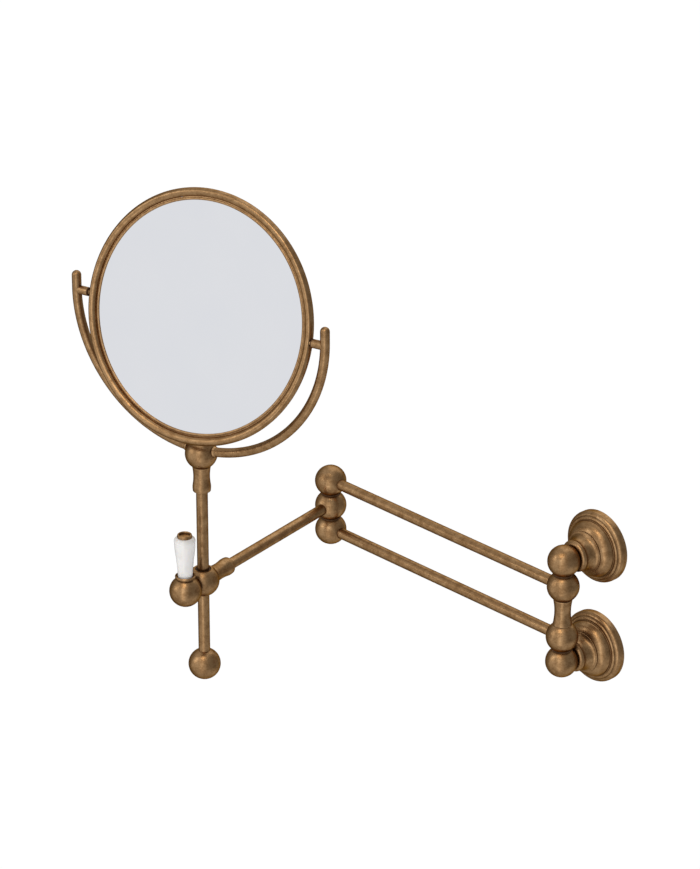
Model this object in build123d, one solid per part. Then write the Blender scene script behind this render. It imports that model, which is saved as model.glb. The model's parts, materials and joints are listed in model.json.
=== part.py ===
from build123d import *
from math import asin, cos, degrees, pi, radians, sin, sqrt
import os

# Extendable shaving mirror, in millimetres.
# The origin is on the wall, midway between the two roses. +Y runs into the wall, -Y into the
# room and +Z up. Two roses carry a short column of balls; a pair of parallel bars swings on it;
# a single rod folds on the bars' elbow and ends in a ball clamp; the clamp holds a pole that
# slides and turns; and the pole carries the fork in which the round mirror tilts.

# ---- driving dimensions ----------------------------------------------------------------------
BALL_R = 12.5            # every ball of the fitting
PITCH = 21.25            # centre to centre of two balls that stand on a washer
COLUMN_Y = 39.25         # wall to the column's axis
BAR_LENGTH = 254.5       # column axis to elbow axis
ROD_LENGTH = 164.0       # elbow axis to pole axis
ROD_ANGLE = -80.0        # heading of the elbow's rod, from +X
LEVER_OFFSET = 21.94     # pole axis to the lever ball's centre
BAR_R = 4.4              # both bars and the elbow's rod
POLE_R = 4.5
FINIAL_DROP = 71.9       # clamp centre down to the finial ball
YOKE_RISE = 107.6        # clamp centre up to the yoke ball
MIRROR_RISE = 219.6      # clamp centre up to the tilt axis
MIRROR_TURN = 16.7       # heading of the tilt axis, from +X
MIRROR_TILT = 14.8       # how far the mirror looks up
RIM_R = 97.0             # outside of the mirror frame
SIGHT_R = 87.65          # clear glass inside the bezel

# ---- fits and fixings ------------------------------------------------------------------------
RUN = 0.05               # radial clearance of every running fit
SEAT = 9.9               # height of the flat that a washer meets
SHOULDER = 10.4          # height of the flat that a ferrule or a spool meets
SPOT = 11.2              # depth of the spot face where a bar enters a ball
STUD_R = 2.5             # turned-down ends of bars, rods and poles
STUD_END = 5.0           # how near such a stud comes to its ball's centre
PIN_R = 3.0              # column pin and elbow pin
PIN_REACH = 5.0          # how far a pin runs past the centre of the ball that holds it
BUSH_R = 4.4             # bushes on the column pin and the elbow pin
WASHER_R = 7.6
WASHER_T = 1.37
SPOOL_END_R = 7.3
SPOOL_WAIST_R = 6.3

# ---- rose, neck and wall bracket, measured along the post from the ball's centre -------------
ROSE_R = 28.6
ROSE_BORE_R = 25.7
NECK_R = 12.0            # shank of the neck inside the rose
CREASE = 22.8            # where neck and rose meet
BRACKET_T = 4.0
BRACKET_R = 25.3
BRACKET_FACE = COLUMN_Y - BRACKET_T
BOSS_FACE = 31.2         # front of the bracket's boss
POST_STUD_R = 4.0
SCREW_X = 17.0           # wall screws, left and right of each post
SCREW_R = 2.25
SCREW_HEAD_R = 4.2
GRUB_R = 1.75
GRUB_SEAT = 24.6         # depth of the dimple, from the post's axis
SOCKET_R = 0.9
SOCKET_DEPTH = 1.3

# ---- clamp and lever -------------------------------------------------------------------------
CLAMP_FLAT = 10.0        # height of the clamp ball's top and bottom flats
CONTACT = 10.6           # flats where the clamp ball and the lever ball face each other
LINER_R = 6.0
LINER_LENGTH = 19.2
GROOVE_R = 5.35          # groove round the liner, for the pad's nose
GROOVE_HALF = 3.15
PAD_BACK = 7.5
THRUST_R = 6.4
THRUST_T = 0.55
SLIT = 1.0               # gap that lets the liner close on the pole
FERRULE_END = 31.4       # ball centre to the ferrule's free end
SLEEVE_FOOT = 12.3
SLEEVE_TOP = 44.6
CORE_R = 2.5
CAP_SEAT = 44.0
CAP_SEAT_R = 5.4
CAP_TOP = 48.0
CAP_DISH_R = 4.5
CAP_DISH = 1.5

# ---- fork and mirror -------------------------------------------------------------------------
FORK_R = 3.65
FORK_HALF = 108.1        # pole axis to each post of the fork
FORK_LOW = 3.06          # fork's lowest centreline above the yoke ball's centre
FORK_SWEEP_R = 106.3     # radius of the fork's bottom arc
FORK_TIP = 15.3          # how far the posts stand above the tilt axis
COLLAR_X = 12.6          # collars where the fork enters the yoke ball
COLLAR_R = FORK_R + 1.1
COLLAR_HALF = 1.2
PIVOT_R = 3.4
JOURNAL_R = 1.3
JOURNAL_END = 93.0       # inner end of a pivot's journal, from the pole's axis
SPIGOT_R = 1.8           # end of a pivot that goes through its post
SPIGOT_REACH = 2.4
WASHER_GAP = 0.1         # mirror frame to friction washer
WASHER_END = 0.95        # mirror frame to the pivot's shoulder
TRUNNION_R = 2.0         # bushes in the mirror frame
TRUNNION_END = 92.5      # bottom of the blind bores that they sit in
SET_BACK = 0.5           # middle of the mirror frame behind the tilt axis
RING_BORE_R = 90.5
GLASS_R = 90.2
FRONT_PLANE = 0.0        # face of the plain glass, in front of the frame's middle
FRONT_CREST = 0.95       # top of the front bezel
GLASS_T = 1.2
REAR_PLANE = 4.1         # edge of the magnifying glass, behind the frame's middle
REAR_CREST = 5.0         # top of the rear bezel
CONCAVE_T = 0.9
CONCAVE_SAG = 1.9        # depth of the magnifying glass's hollow
SPACER_BORE_R = 86.0
SPACER_T = 1.81

# ---- frames ----------------------------------------------------------------------------------
HEADING = (cos(radians(ROD_ANGLE)), sin(radians(ROD_ANGLE)), 0)
ELBOW = Vector(-BAR_LENGTH, -COLUMN_Y, 0)
CLAMP = ELBOW + Vector(*HEADING) * ROD_LENGTH
LEVER = CLAMP + Vector(*HEADING) * LEVER_OFFSET
YOKE_FRAME = Pos(CLAMP) * Rot(Z=MIRROR_TURN)
TILT_FRAME = YOKE_FRAME * Pos(0, 0, MIRROR_RISE) * Rot(X=90 - MIRROR_TILT)
MIRROR_FRAME = TILT_FRAME * Pos(0, 0, -SET_BACK)
SIDES = (("upper", 1), ("lower", -1))


def on_column(z):
    """Frame on the column's axis at height z, with local Z up."""
    return Pos(0, -COLUMN_Y, z)


def on_elbow(z):
    """Frame on the elbow's axis at height z, with local Z up."""
    return Pos(ELBOW) * Pos(0, 0, z)


def to_wall(z):
    """Frame at the post ball of height z, with local Z running to the wall."""
    return on_column(z) * Rot(X=-90)


def along_rod(distance):
    """Frame on the elbow's rod, with local Z running away from the elbow and local X up."""
    middle = ELBOW + Vector(*HEADING) * distance
    return Plane(origin=middle, x_dir=(0, 0, 1), z_dir=HEADING).location


# ---- shapes used again and again -------------------------------------------------------------
def outline(*steps):
    """Face in the XZ plane. A step is a corner (r, z), or an arc as (point on it, its end)."""
    edges = []
    here = steps[0]
    for step in steps[1:] + steps[:1]:
        is_arc = isinstance(step[0], tuple)
        there = step[1] if is_arc else step
        if is_arc:
            edges.append(ThreePointArc(here, step[0], there))
        elif there != here:
            edges.append(Line(here, there))
        here = there
    return Plane.XZ * make_face(edges)


def turned(*steps):
    """Solid turned about Z from an outline of (radius, height) steps."""
    return revolve(outline(*steps), Axis.Z, 360)


def round_bar(radius, low, high):
    """Cylinder on Z from one height to another."""
    return extrude(Pos(0, 0, low) * Circle(radius), high - low)


def sleeve(outer, inner, low, high):
    """Plain tube on Z."""
    return round_bar(outer, low, high) - round_bar(inner, low, high)


def ball(low=-BALL_R, high=BALL_R):
    """Ball about the origin, cut flat at two heights."""
    low_r = sqrt(BALL_R**2 - low**2)
    high_r = sqrt(BALL_R**2 - high**2)
    return turned((0, low), (low_r, low), ((BALL_R, 0), (high_r, high)), (0, high))


def stepped_rod(radius, low, high, tail):
    """Rod on Z whose two ends are turned down to studs of length tail."""
    return round_bar(radius, low, high) + round_bar(STUD_R, low - tail, high + tail)


def bar_seat():
    """Cutter on Z for the spot face and the stud hole where a bar enters a ball."""
    return round_bar(BAR_R, SPOT, BALL_R + 1) + round_bar(STUD_R, STUD_END, BALL_R)


def dish(radius, drop):
    """Height over its lowest point of a shallow spherical dish, half way out to its edge."""
    sweep_r = (radius**2 + drop**2) / (2 * drop)
    return sweep_r - sqrt(sweep_r**2 - (radius / 2) ** 2)


def save(node, *solids):
    """Write one node; several solids make a group of separate pieces."""
    shape = solids[0] if len(solids) == 1 else Compound(children=list(solids))
    export_step(shape, f"parts/{node}.step")


# ---- wall brackets, roses and posts ----------------------------------------------------------
def wall_bracket():
    """Disc against the wall with a boss, two countersunk screw holes and a grub screw's dimple."""
    plate = round_bar(BRACKET_R, BRACKET_FACE, COLUMN_Y) + round_bar(NECK_R, BOSS_FACE, BRACKET_FACE)
    plate -= round_bar(POST_STUD_R, BOSS_FACE, COLUMN_Y)
    for side in (-1, 1):
        hole = round_bar(SCREW_R, BRACKET_FACE, COLUMN_Y)
        sink_depth = SCREW_HEAD_R - SCREW_R
        sink = turned((0, 0), (SCREW_HEAD_R, 0), (SCREW_R, sink_depth), (0, sink_depth))
        plate -= Pos(side * SCREW_X, 0, 0) * (hole + Pos(0, 0, BRACKET_FACE) * sink)
    return plate - grub_axis() * round_bar(GRUB_R, GRUB_SEAT, BRACKET_R + 1)


def grub_axis():
    """Frame with local Z running down through the rim of a rose, seen from its post's frame."""
    return Pos(0, 0, COLUMN_Y - BRACKET_T / 2) * Rot(X=-90)


def grub_screw():
    """Socket set screw that holds the rose on its bracket."""
    head = ROSE_R - 0.1
    screw = round_bar(GRUB_R, GRUB_SEAT, head)
    return grub_axis() * (screw - round_bar(SOCKET_R, head - SOCKET_DEPTH, head))


def rose():
    """Spun cover: rounded rim, a slim bead, a step and a dome up to the neck's crease."""
    shell = turned(
        (NECK_R, CREASE), (16.0, CREASE),
        ((20.4, 25.6), (22.4, 29.9)),
        ((22.5, 30.6), (23.1, 30.9)),
        ((24.5, 31.0), (25.3, 31.9)), ((25.5, 32.2), (25.8, 32.2)),
        ((28.0, 33.6), (ROSE_R, 36.2)), (ROSE_R, COLUMN_Y), (ROSE_BORE_R, COLUMN_Y),
        (ROSE_BORE_R, 34.8), (21.0, 32.6), ((18.9, 28.0), (15.6, 24.6)), (NECK_R, 24.6),
    )
    return shell - grub_axis() * round_bar(GRUB_R, BRACKET_R, ROSE_R + 1)


def rose_neck():
    """Bell-shaped neck with a rolled lip that cups the post ball, and a shank into the rose."""
    neck = turned(
        (0, 9.0), (8.8, 9.0), ((11.2, 9.6), (12.3, 11.2)), ((12.5, 12.1), (12.15, 13.0)),
        ((12.0, 16.2), (13.1, 19.4)), ((14.6, 21.2), (16.3, 21.9)), (16.3, CREASE),
        (NECK_R, CREASE), (NECK_R, BOSS_FACE), (0, BOSS_FACE),
    )
    return neck - Sphere(BALL_R) - round_bar(POST_STUD_R, 0, BOSS_FACE)


def post_ball(side):
    """Fixed ball that holds one end of the column pin and stands on the neck's stud."""
    body = ball(-BALL_R, SEAT) if side < 0 else ball(-SEAT, BALL_R)
    inward = -side
    pin_hole = round_bar(PIN_R, -PIN_REACH, SEAT) if inward > 0 else round_bar(PIN_R, -SEAT, PIN_REACH)
    return body - pin_hole - Rot(X=-90) * round_bar(POST_STUD_R, POST_STUD_R, BALL_R)


def build_wall_mount():
    """The two roses with their posts, the washers on them and the column pin."""
    studs = []
    grubs = []
    washers = []
    for name, side in SIDES:
        height = side * 2 * PITCH
        save(f"wall_bracket_{name}", to_wall(height) * wall_bracket())
        save(f"rose_{name}", to_wall(height) * rose())
        save(f"rose_neck_{name}", to_wall(height) * rose_neck())
        save(f"post_ball_{name}", on_column(height) * post_ball(side))
        studs.append(to_wall(height) * round_bar(POST_STUD_R, POST_STUD_R, COLUMN_Y - 1))
        grubs.append(to_wall(height) * grub_screw())
        inner_face = side * (2 * PITCH - SEAT - WASHER_T / 2)
        washers.append(on_column(inner_face) * sleeve(WASHER_R, PIN_R, -WASHER_T / 2, WASHER_T / 2))
    save("post_studs", *studs)
    save("rose_grub_screws", *grubs)
    save("column_washers", *washers)
    reach = 2 * PITCH + PIN_REACH
    save("column_pin", on_column(0) * round_bar(PIN_R, -reach, reach))


# ---- the pair of swinging bars ---------------------------------------------------------------
def swing_ball(side):
    """Ball that turns on the column pin: washer flat outside, spool flat inside, bar to -X."""
    body = ball(-SHOULDER, SEAT) if side > 0 else ball(-SEAT, SHOULDER)
    return body - round_bar(BUSH_R, -BALL_R, BALL_R) - Rot(Y=-90) * bar_seat()


def elbow_ball(side):
    """Ball at the outer end of a bar, bored from the inside for the elbow pin."""
    body = ball(-SEAT, BALL_R) if side > 0 else ball(-BALL_R, SEAT)
    pin_hole = round_bar(PIN_R, -SEAT, PIN_REACH) if side > 0 else round_bar(PIN_R, -PIN_REACH, SEAT)
    return body - pin_hole - Rot(Y=90) * bar_seat()


def spool():
    """Waisted distance piece between the two swing balls."""
    half = PITCH - SHOULDER
    bore = PIN_R + 0.4
    return turned(
        (bore, -half), (SPOOL_END_R, -half), (SPOOL_END_R, 1 - half),
        ((SPOOL_WAIST_R, 0), (SPOOL_END_R, half - 1)), (SPOOL_END_R, half), (bore, half),
    )


def build_bars():
    """Swing balls, spool and bushes on the column; bars; elbow balls, pin and washers."""
    bushes = []
    washers = []
    for name, side in SIDES:
        height = side * PITCH
        low, high = (-SHOULDER, SEAT) if side > 0 else (-SEAT, SHOULDER)
        save(f"swing_ball_{name}", on_column(height) * swing_ball(side))
        bushes.append(on_column(height) * sleeve(BUSH_R, PIN_R + RUN, low, high))
        bar = stepped_rod(BAR_R, SPOT, BAR_LENGTH - SPOT, SPOT - STUD_END)
        save(f"bar_{name}", on_column(height) * Rot(Y=-90) * bar)
        save(f"elbow_ball_{name}", on_elbow(height) * elbow_ball(side))
        inner_face = side * (PITCH - SEAT - WASHER_T / 2)
        washers.append(on_elbow(inner_face) * sleeve(WASHER_R, PIN_R, -WASHER_T / 2, WASHER_T / 2))
    save("column_bushes", *bushes)
    save("elbow_washers", *washers)
    save("column_spool", on_column(0) * spool())
    reach = PITCH + PIN_REACH
    save("elbow_pin", on_elbow(0) * round_bar(PIN_R, -reach, reach))


# ---- the folding rod with its ball clamp -----------------------------------------------------
def ferrule(bore):
    """Waisted ferrule on Z: seat at the ball's flat, rolled lip at the free end."""
    return turned(
        (bore, SHOULDER), (7.2, SHOULDER), ((6.35, 18.6), (6.85, 25.4)), ((7.1, 28.0), (6.9, 30.4)),
        ((6.75, 31.1), (6.3, FERRULE_END)), (bore, FERRULE_END),
    )


def clamp_ball():
    """Ball bored for the pole's liner, flat above and below, with a screw hole to the lever."""
    body = along_rod(ROD_LENGTH) * ball(-SHOULDER, CONTACT)
    body &= Pos(CLAMP) * Box(3 * BALL_R, 3 * BALL_R, 2 * CLAMP_FLAT)
    body -= Pos(CLAMP) * round_bar(LINER_R + RUN, -BALL_R, BALL_R)
    body -= along_rod(ROD_LENGTH) * round_bar(PIN_R + RUN, 0, BALL_R)
    return body - along_rod(ROD_LENGTH) * Rot(Y=180) * round_bar(STUD_R, LINER_R, BALL_R)


def build_rod():
    """Middle elbow ball on its bush, the rod, its ferrule, the clamp ball and its thrust washer."""
    elbow = ball(-SEAT, SEAT) - round_bar(BUSH_R, -BALL_R, BALL_R)
    save("elbow_ball_middle", on_elbow(0) * elbow - along_rod(0) * bar_seat())
    save("elbow_bush", on_elbow(0) * sleeve(BUSH_R, PIN_R + RUN, -SEAT, SEAT))
    shoulder = ROD_LENGTH - SHOULDER
    rod = round_bar(BAR_R, SPOT, shoulder) + round_bar(STUD_R, STUD_END, ROD_LENGTH - LINER_R - 1)
    save("arm_rod", along_rod(0) * rod)
    save("arm_ferrule", along_rod(ROD_LENGTH) * Rot(Y=180) * ferrule(BAR_R))
    save("clamp_ball", clamp_ball())
    washer = sleeve(THRUST_R, PIN_R + RUN, CONTACT, CONTACT + THRUST_T)
    save("thrust_washer", along_rod(ROD_LENGTH) * washer)


# ---- clamp pad and lever ---------------------------------------------------------------------
def clamp_pad():
    """Plug at the screw's nose, hollowed to bear on the liner's groove."""
    plug = along_rod(ROD_LENGTH) * round_bar(PIN_R, 0, PAD_BACK)
    return plug - Pos(CLAMP) * round_bar(GROOVE_R + RUN, -BALL_R, BALL_R)


def lever_collar():
    """Stepped cup on the lever ball, with a raised lip round the ceramic sleeve's foot."""
    cup = turned(
        (CORE_R, 9.0), (6.4, 9.0), (6.6, 10.4), ((7.2, 10.9), (7.2, 11.5)),
        ((7.95, 12.3), (7.5, 13.2)), ((7.1, 13.35), (6.8, 13.1)),
        (6.4, SLEEVE_FOOT), (CORE_R, SLEEVE_FOOT),
    )
    return cup - Sphere(BALL_R)


def lever_sleeve():
    """Glazed ceramic grip: slim foot, swelling to a rounded shoulder with a seat for the cap."""
    bore = CORE_R + 0.2
    return turned(
        (bore, SLEEVE_FOOT), (5.7, SLEEVE_FOOT), ((6.15, 20.5), (7.3, 31.0)),
        ((7.9, 36.5), (8.05, 41.2)), ((7.6, 43.6), (5.9, SLEEVE_TOP)), (CAP_SEAT_R, SLEEVE_TOP),
        (CAP_SEAT_R, CAP_SEAT), (bore, CAP_SEAT),
    )


def lever_cap():
    """Dished button that closes the sleeve."""
    well = CAP_TOP - CAP_DISH
    halfway = well + dish(CAP_DISH_R, CAP_DISH)
    return turned(
        (0, CAP_SEAT), (5.3, CAP_SEAT), (5.3, SLEEVE_TOP), (5.7, SLEEVE_TOP),
        ((5.8, 46.0), (5.6, 47.2)), ((5.4, 47.8), (4.95, CAP_TOP)), (CAP_DISH_R, CAP_TOP),
        ((CAP_DISH_R / 2, halfway), (0, well)),
    )


def build_lever():
    """Pad, clamp screw, lever ball, collar, core, ceramic sleeve and cap."""
    save("clamp_pad", clamp_pad())
    screw_end = LEVER_OFFSET - STUD_END
    save("clamp_screw", along_rod(ROD_LENGTH) * round_bar(PIN_R, PAD_BACK, screw_end))
    knob = along_rod(ROD_LENGTH + LEVER_OFFSET) * ball(-CONTACT, BALL_R)
    knob -= along_rod(ROD_LENGTH) * round_bar(PIN_R, 0, screw_end)
    save("lever_ball", knob - Pos(LEVER) * round_bar(CORE_R, STUD_END, BALL_R))
    save("lever_collar", Pos(LEVER) * lever_collar())
    save("lever_core", Pos(LEVER) * round_bar(CORE_R, STUD_END, CAP_SEAT))
    save("lever_sleeve", Pos(LEVER) * lever_sleeve())
    save("lever_cap", Pos(LEVER) * lever_cap())


# ---- pole and liner --------------------------------------------------------------------------
def pole_liner():
    """Split sleeve between clamp ball and pole, with a groove that the clamp pad rides in."""
    half = LINER_LENGTH / 2
    tube = sleeve(LINER_R, POLE_R + RUN, -half, half)
    tube -= sleeve(LINER_R + 1, GROOVE_R, -GROOVE_HALF, GROOVE_HALF)
    slit = Pos(0, LINER_R, 0) * Box(SLIT, 2 * LINER_R, LINER_LENGTH + 1)
    return tube - slit


def build_pole():
    """Liner, pole, finial ball, ferrule and yoke ball."""
    save("pole_liner", Pos(CLAMP) * Rot(Z=ROD_ANGLE) * pole_liner())
    low = SPOT - FINIAL_DROP
    high = YOKE_RISE - SHOULDER
    pole = round_bar(POLE_R, low, high) + round_bar(STUD_R, STUD_END - FINIAL_DROP, YOKE_RISE - 1.5)
    save("pole", Pos(CLAMP) * pole)
    finial = ball() - round_bar(POLE_R, SPOT, BALL_R + 1) - round_bar(STUD_R, STUD_END, BALL_R)
    save("finial_ball", Pos(CLAMP) * Pos(0, 0, -FINIAL_DROP) * finial)
    save("pole_ferrule", Pos(CLAMP) * Pos(0, 0, YOKE_RISE) * Rot(X=180) * ferrule(POLE_R))
    knuckle = ball(-SHOULDER, BALL_R) - round_bar(STUD_R, -BALL_R, -1.5)
    knuckle -= Pos(0, 0, -YOKE_RISE) * fork_tube()
    save("yoke_ball", YOKE_FRAME * Pos(0, 0, YOKE_RISE) * knuckle)


# ---- fork and tilt pivots --------------------------------------------------------------------
def fork_path():
    """Centreline of the fork in the XZ plane: a wide bottom arc, two tighter ones and posts."""
    diagonal = sqrt(0.5)
    side_r = (FORK_HALF - FORK_SWEEP_R * diagonal) / (1 - diagonal)
    bottom = YOKE_RISE + FORK_LOW
    middle = bottom + FORK_SWEEP_R
    turn = FORK_SWEEP_R * diagonal
    post = middle + (side_r - FORK_SWEEP_R) * diagonal
    tip = MIRROR_RISE + FORK_TIP - FORK_R
    bend_x = FORK_HALF - side_r * (1 - cos(pi / 8))
    bend_z = post - side_r * sin(pi / 8)
    edges = [
        Line((-FORK_HALF, 0, tip), (-FORK_HALF, 0, post)),
        ThreePointArc((-FORK_HALF, 0, post), (-bend_x, 0, bend_z), (-turn, 0, middle - turn)),
        ThreePointArc((-turn, 0, middle - turn), (0, 0, bottom), (turn, 0, middle - turn)),
        ThreePointArc((turn, 0, middle - turn), (bend_x, 0, bend_z), (FORK_HALF, 0, post)),
        Line((FORK_HALF, 0, post), (FORK_HALF, 0, tip)),
    ]
    return Wire(edges)


def fork_tube():
    """Round rod bent along the fork's centreline, with domed tips."""
    tip = MIRROR_RISE + FORK_TIP - FORK_R
    rod = sweep(Pos(-FORK_HALF, 0, tip) * Circle(FORK_R), path=fork_path())
    for side in (-1, 1):
        rod += Pos(side * FORK_HALF, 0, tip) * Sphere(FORK_R)
    return rod


def pivot_pin():
    """Pin on Z from the tilt axis's middle outwards: a journal, then the body to the post."""
    shoulder = RIM_R + WASHER_END
    return round_bar(JOURNAL_R, JOURNAL_END, shoulder) + round_bar(PIVOT_R, shoulder, FORK_HALF)


def fork_collar(side):
    """Bead on the fork just outside the yoke ball, square to the fork's centreline there."""
    slope = degrees(asin(COLLAR_X / FORK_SWEEP_R))
    sag = FORK_SWEEP_R * (1 - cos(radians(slope)))
    place = Pos(side * COLLAR_X, 0, YOKE_RISE + FORK_LOW + sag) * Rot(Y=side * (90 - slope))
    return place * round_bar(COLLAR_R, -COLLAR_HALF, COLLAR_HALF)


def build_fork():
    """Fork with its two collars at the yoke ball, pivot pins and friction washers."""
    pins = []
    washers = []
    collars = []
    tube = fork_tube()
    fork = tube
    knuckle_space = Pos(0, 0, YOKE_RISE) * Sphere(BALL_R)
    for side in (-1, 1):
        outward = Pos(0, 0, MIRROR_RISE) * Rot(Y=90 * side)
        spigot = outward * round_bar(SPIGOT_R, FORK_HALF - FORK_R - 1, FORK_HALF + SPIGOT_REACH)
        fork -= spigot
        pins.append(YOKE_FRAME * (outward * pivot_pin() - tube + spigot))
        friction = sleeve(PIVOT_R, JOURNAL_R, RIM_R + WASHER_GAP, RIM_R + WASHER_END)
        washers.append(YOKE_FRAME * outward * friction)
        collars.append(YOKE_FRAME * (fork_collar(side) - tube - knuckle_space))
    save("yoke_fork", YOKE_FRAME * fork)
    save("pivot_pins", *pins)
    save("friction_washers", *washers)
    save("fork_collars", *collars)


# ---- mirror ----------------------------------------------------------------------------------
def bezel(plane, crest):
    """Chamfered ring that holds a glass: its foot on the glass's plane, its flat top at the crest."""
    outer = RING_BORE_R - RUN
    shoulder = crest - 0.45
    return turned(
        (SIGHT_R, plane), (SIGHT_R, shoulder), (88.2, crest), (89.0, crest), (89.6, shoulder),
        (outer, shoulder - 0.1), (outer, plane),
    )


def centre_ring():
    """Band with rounded faces and a barrel-shaped edge, bored for the tilt bushes."""
    band = turned(
        (RING_BORE_R, -4.7), ((92.0, -5.1), (93.4, -5.2)), ((94.7, -4.75), (95.5, -3.7)),
        ((96.45, -1.95), (RIM_R, 0)), ((96.45, 1.35), (95.7, 2.5)), ((95.0, 3.1), (94.0, 3.35)),
        ((91.7, 2.5), (RING_BORE_R, 0.9)),
    )
    bore = round_bar(TRUNNION_R, TRUNNION_END, RIM_R + 1)
    return band - [Pos(0, 0, SET_BACK) * Rot(Y=90 * side) * bore for side in (-1, 1)]


def magnifying_glass():
    """Glass whose outer face is hollow and whose back follows it at an even thickness."""
    middle = CONCAVE_SAG - REAR_PLANE
    halfway = middle - dish(GLASS_R, CONCAVE_SAG)
    outer = ((GLASS_R / 2, halfway), (GLASS_R, -REAR_PLANE))
    inner = ((GLASS_R / 2, halfway + CONCAVE_T), (0, middle + CONCAVE_T))
    return turned((0, middle), outer, (GLASS_R, CONCAVE_T - REAR_PLANE), inner)


def build_mirror():
    """Centre ring, two bezels, both glasses, the spacer between them and the tilt bushes."""
    save("mirror_ring", MIRROR_FRAME * centre_ring())
    save("front_bezel", MIRROR_FRAME * bezel(FRONT_PLANE, FRONT_CREST))
    save("rear_bezel", MIRROR_FRAME * Rot(Y=180) * bezel(REAR_PLANE, REAR_CREST))
    glass_back = FRONT_PLANE - GLASS_T
    save("plain_glass", MIRROR_FRAME * round_bar(GLASS_R, glass_back, FRONT_PLANE))
    save("magnifying_glass", MIRROR_FRAME * magnifying_glass())
    spacer = sleeve(GLASS_R, SPACER_BORE_R, glass_back - SPACER_T, glass_back)
    save("glass_spacer", MIRROR_FRAME * spacer)
    bushes = []
    for side in (-1, 1):
        bush = sleeve(TRUNNION_R, JOURNAL_R + RUN, TRUNNION_END, RIM_R)
        bushes.append(TILT_FRAME * Rot(Y=90 * side) * bush)
    save("tilt_bushes", *bushes)


os.makedirs("parts", exist_ok=True)
build_wall_mount()
build_bars()
build_rod()
build_lever()
build_pole()
build_fork()
build_mirror()
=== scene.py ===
import json
import math

import bpy
from mathutils import Matrix, Vector


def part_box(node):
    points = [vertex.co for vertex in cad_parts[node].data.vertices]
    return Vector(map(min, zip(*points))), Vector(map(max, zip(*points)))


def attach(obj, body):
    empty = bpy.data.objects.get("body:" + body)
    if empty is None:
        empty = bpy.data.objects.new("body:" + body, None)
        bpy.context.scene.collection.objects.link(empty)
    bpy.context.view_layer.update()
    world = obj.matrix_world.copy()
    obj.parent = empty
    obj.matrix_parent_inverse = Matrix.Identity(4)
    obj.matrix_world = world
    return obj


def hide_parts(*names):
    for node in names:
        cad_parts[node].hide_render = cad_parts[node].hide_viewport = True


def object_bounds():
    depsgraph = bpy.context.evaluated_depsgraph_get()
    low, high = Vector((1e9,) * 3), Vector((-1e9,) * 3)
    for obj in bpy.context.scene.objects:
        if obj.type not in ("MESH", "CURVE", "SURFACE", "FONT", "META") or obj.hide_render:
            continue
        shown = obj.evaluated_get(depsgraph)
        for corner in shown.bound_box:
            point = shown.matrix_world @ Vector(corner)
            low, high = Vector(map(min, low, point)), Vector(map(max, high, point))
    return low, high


# Extendable shaving mirror in antique brass: the looks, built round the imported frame. Outlines
# are in millimetres, as (radius, height) on a turning axis; everything placed is in metres.

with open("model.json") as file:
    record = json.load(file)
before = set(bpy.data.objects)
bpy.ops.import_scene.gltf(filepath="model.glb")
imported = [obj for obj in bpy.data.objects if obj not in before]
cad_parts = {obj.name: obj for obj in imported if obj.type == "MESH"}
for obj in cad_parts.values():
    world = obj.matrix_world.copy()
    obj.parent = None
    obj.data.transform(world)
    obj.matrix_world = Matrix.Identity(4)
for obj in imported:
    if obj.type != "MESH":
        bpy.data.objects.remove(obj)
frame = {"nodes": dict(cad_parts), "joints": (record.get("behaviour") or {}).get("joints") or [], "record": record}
cad_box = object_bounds()
MM = 0.001

# ---- driving sizes, from the frame -----------------------------------------------------------
JOINTS = {joint["name"]: joint for joint in frame["joints"]}
COLUMN = Vector(JOINTS["wall_swing"]["pos_m"])
ELBOW = Vector(JOINTS["elbow_fold"]["pos_m"])
CLAMP = Vector(JOINTS["pole_turn"]["pos_m"])
LEVER = Vector(JOINTS["lever_turn"]["pos_m"])
MIRROR = Vector(JOINTS["mirror_tilt"]["pos_m"])
HEADING = Vector(JOINTS["lever_turn"]["axis"])
TILT_AXIS = Vector(JOINTS["mirror_tilt"]["axis"])


def extent(node):
    """Size of a CAD node's box, in millimetres."""
    low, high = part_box(node)
    return (high - low) / MM


BALL_R = extent("finial_ball").x / 2
BAR_R = extent("bar_upper").y / 2
POLE_R = extent("pole").x / 2
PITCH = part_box("elbow_ball_upper")[1].z / MM - BALL_R
COLUMN_Y = -COLUMN.y / MM
BAR_LENGTH = (COLUMN - ELBOW).length / MM
ROD_LENGTH = (CLAMP - ELBOW).length / MM
LEVER_OFFSET = (LEVER - CLAMP).length / MM
FINIAL_DROP = -(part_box("finial_ball")[0].z / MM + BALL_R)
YOKE_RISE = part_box("yoke_ball")[1].z / MM - BALL_R
MIRROR_RISE = MIRROR.z / MM
FORK_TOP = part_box("yoke_fork")[1].z / MM

# ---- sizes shared with the CAD, in millimetres -----------------------------------------------
SEAT = 9.9               # flat of a ball that meets a washer
SHOULDER = 10.4          # flat of a ball that meets a ferrule or the spool
CONTACT = 10.6           # flats where clamp ball and lever ball face each other
CLAMP_FLAT = 10.0        # flats round the pole, over and under the clamp ball
BAR_SEAT = 9.5           # end of a bar or a rod inside its ball
LINER_BORE_R = 6.05      # bore of the clamp ball, for the liner
WASHER_R = 7.6           # washers of the column and the elbow
WASHER_T = 1.37
THRUST_R = 6.4           # washer between clamp ball and lever ball
THRUST_BORE_R = 3.05
THRUST_T = 0.55
PIN_R = 3.0              # pins of the column and the elbow
SPOOL_BORE_R = 3.4
STUD_R = 4.0
SPOOL_END_R = 7.3
WAIST_R = 6.3
FERRULE_END = 31.4
CREASE = 22.8            # where neck and rose meet
ROSE_R = 28.6
ROSE_BORE_R = 25.7       # inside of a rose, round its wall bracket
GRUB_R = 1.75            # grub screw's hole in the rim of a rose
NECK_FLAT = 9.0          # face of a neck, where its ball sits in it
RIM_R = 97.0
SIGHT_R = 87.65
RING_BORE_R = 90.5
SET_BACK = 0.5           # middle of the mirror frame behind the tilt axis
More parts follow.
